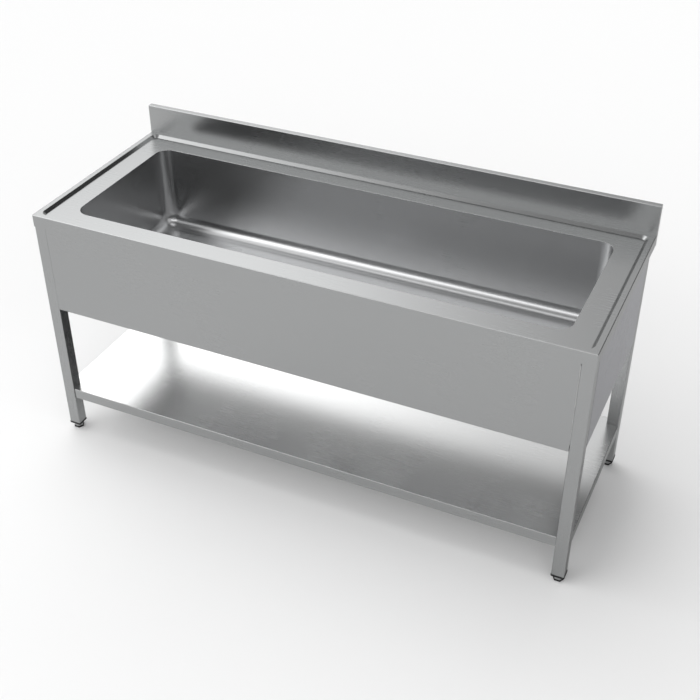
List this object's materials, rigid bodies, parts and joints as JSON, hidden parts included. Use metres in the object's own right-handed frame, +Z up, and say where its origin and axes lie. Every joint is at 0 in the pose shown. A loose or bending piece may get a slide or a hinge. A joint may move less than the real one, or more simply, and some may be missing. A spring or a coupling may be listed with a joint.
{
  "type": "laundry sink",
  "caption": "Free-standing stainless steel laundry sink: long deep bowl in a rimmed worktop with upstand, apron panels, box legs on levelling feet and a low shelf.",
  "frame": {"origin": "on the floor, under the middle of the overall box", "axes": "+X to the right along the bowl as seen from the front, +Y to the rear (the wall), +Z up"},
  "size_m": [1.8, 0.7, 0.95],
  "materials": {
    "satin_steel": "satin brushed stainless sheet, grain along the length",
    "mill_steel": "plain mill finish, hidden stiffeners",
    "zinc_steel": "bright zinc plate on screws and threads",
    "foot_steel": "turned stainless hexagon",
    "polished_steel": "polished waste outlet and strainer",
    "black_plastic": "black moulded plastic leg inserts and pads",
    "nut_plastic": "moulded ring nut",
    "washer_plastic": "white slip washer",
    "gasket_rubber": "soft black rubber",
    "damping_pad": "light grey sound-deadening sheet"
  },
  "bodies": {
    "frame": {"worktop": "satin_steel", "splashback": "satin_steel", "splashback_end_left": "satin_steel", "splashback_end_right": "satin_steel", "bowl": "satin_steel", "front_apron": "satin_steel", "rear_apron": "satin_steel", "left_apron": "satin_steel", "right_apron": "satin_steel", "shelf": "satin_steel", "leg_front_left": "satin_steel", "leg_front_right": "satin_steel", "leg_rear_left": "satin_steel", "leg_rear_right": "satin_steel", "deck_stiffener_left": "mill_steel", "deck_stiffener_right": "mill_steel", "shelf_stiffener_left": "mill_steel", "shelf_stiffener_middle": "mill_steel", "shelf_stiffener_right": "mill_steel", "leg_plate_front_left": "mill_steel", "leg_plate_front_right": "mill_steel", "leg_plate_rear_left": "mill_steel", "leg_plate_rear_right": "mill_steel", "deck_studs": "zinc_steel", "deck_nuts": "zinc_steel", "shelf_bolts": "zinc_steel", "waste_body": "polished_steel", "waste_gasket": "gasket_rubber", "waste_washer": "washer_plastic", "waste_locknut": "nut_plastic", "sound_pad_left": "damping_pad", "sound_pad_right": "damping_pad", "leg_cap_front_left": "black_plastic", "leg_cap_front_right": "black_plastic", "leg_cap_rear_left": "black_plastic", "leg_cap_rear_right": "black_plastic"},
    "strainer": {"strainer_plate": "polished_steel", "strainer_knob": "polished_steel"},
    "pad_front_left": {"foot_pad_front_left": "black_plastic"},
    "screw_front_left": {"foot_hex_front_left": "foot_steel", "foot_spindle_front_left": "zinc_steel"},
    "pad_front_right": {"foot_pad_front_right": "black_plastic"},
    "screw_front_right": {"foot_hex_front_right": "foot_steel", "foot_spindle_front_right": "zinc_steel"},
    "pad_rear_left": {"foot_pad_rear_left": "black_plastic"},
    "screw_rear_left": {"foot_hex_rear_left": "foot_steel", "foot_spindle_rear_left": "zinc_steel"},
    "pad_rear_right": {"foot_pad_rear_right": "black_plastic"},
    "screw_rear_right": {"foot_hex_rear_right": "foot_steel", "foot_spindle_rear_right": "zinc_steel"}
  },
  "joints": [
    {"name": "strainer_lift", "type": "slide", "parent": "frame", "child": "strainer", "axis": [0, 0, 1], "range_m": [0, 0.34]},
    {"name": "foot_height_front_left", "type": "slide", "parent": "frame", "child": "pad_front_left", "axis": [0, 0, -1], "range_m": [0, 0.024]},
    {"name": "foot_turn_front_left", "type": "hinge", "parent": "pad_front_left", "child": "screw_front_left", "pos_m": [-0.878, -0.328, 0], "axis": [0, 0, -1], "range_deg": [0, 5760]},
    {"name": "foot_height_front_right", "type": "slide", "parent": "frame", "child": "pad_front_right", "axis": [0, 0, -1], "range_m": [0, 0.024]},
    {"name": "foot_turn_front_right", "type": "hinge", "parent": "pad_front_right", "child": "screw_front_right", "pos_m": [0.878, -0.328, 0], "axis": [0, 0, -1], "range_deg": [0, 5760]},
    {"name": "foot_height_rear_left", "type": "slide", "parent": "frame", "child": "pad_rear_left", "axis": [0, 0, -1], "range_m": [0, 0.024]},
    {"name": "foot_turn_rear_left", "type": "hinge", "parent": "pad_rear_left", "child": "screw_rear_left", "pos_m": [-0.878, 0.258, 0], "axis": [0, 0, -1], "range_deg": [0, 5760]},
    {"name": "foot_height_rear_right", "type": "slide", "parent": "frame", "child": "pad_rear_right", "axis": [0, 0, -1], "range_m": [0, 0.024]},
    {"name": "foot_turn_rear_right", "type": "hinge", "parent": "pad_rear_right", "child": "screw_rear_right", "pos_m": [0.878, 0.258, 0], "axis": [0, 0, -1], "range_deg": [0, 5760]}
  ],
  "couplings": [
    {"joint": "foot_turn_front_left", "follows": "foot_height_front_left", "rad_per_m": 4188.8},
    {"joint": "foot_turn_front_right", "follows": "foot_height_front_right", "rad_per_m": 4188.8},
    {"joint": "foot_turn_rear_left", "follows": "foot_height_rear_left", "rad_per_m": 4188.8},
    {"joint": "foot_turn_rear_right", "follows": "foot_height_rear_right", "rad_per_m": 4188.8}
  ]
}
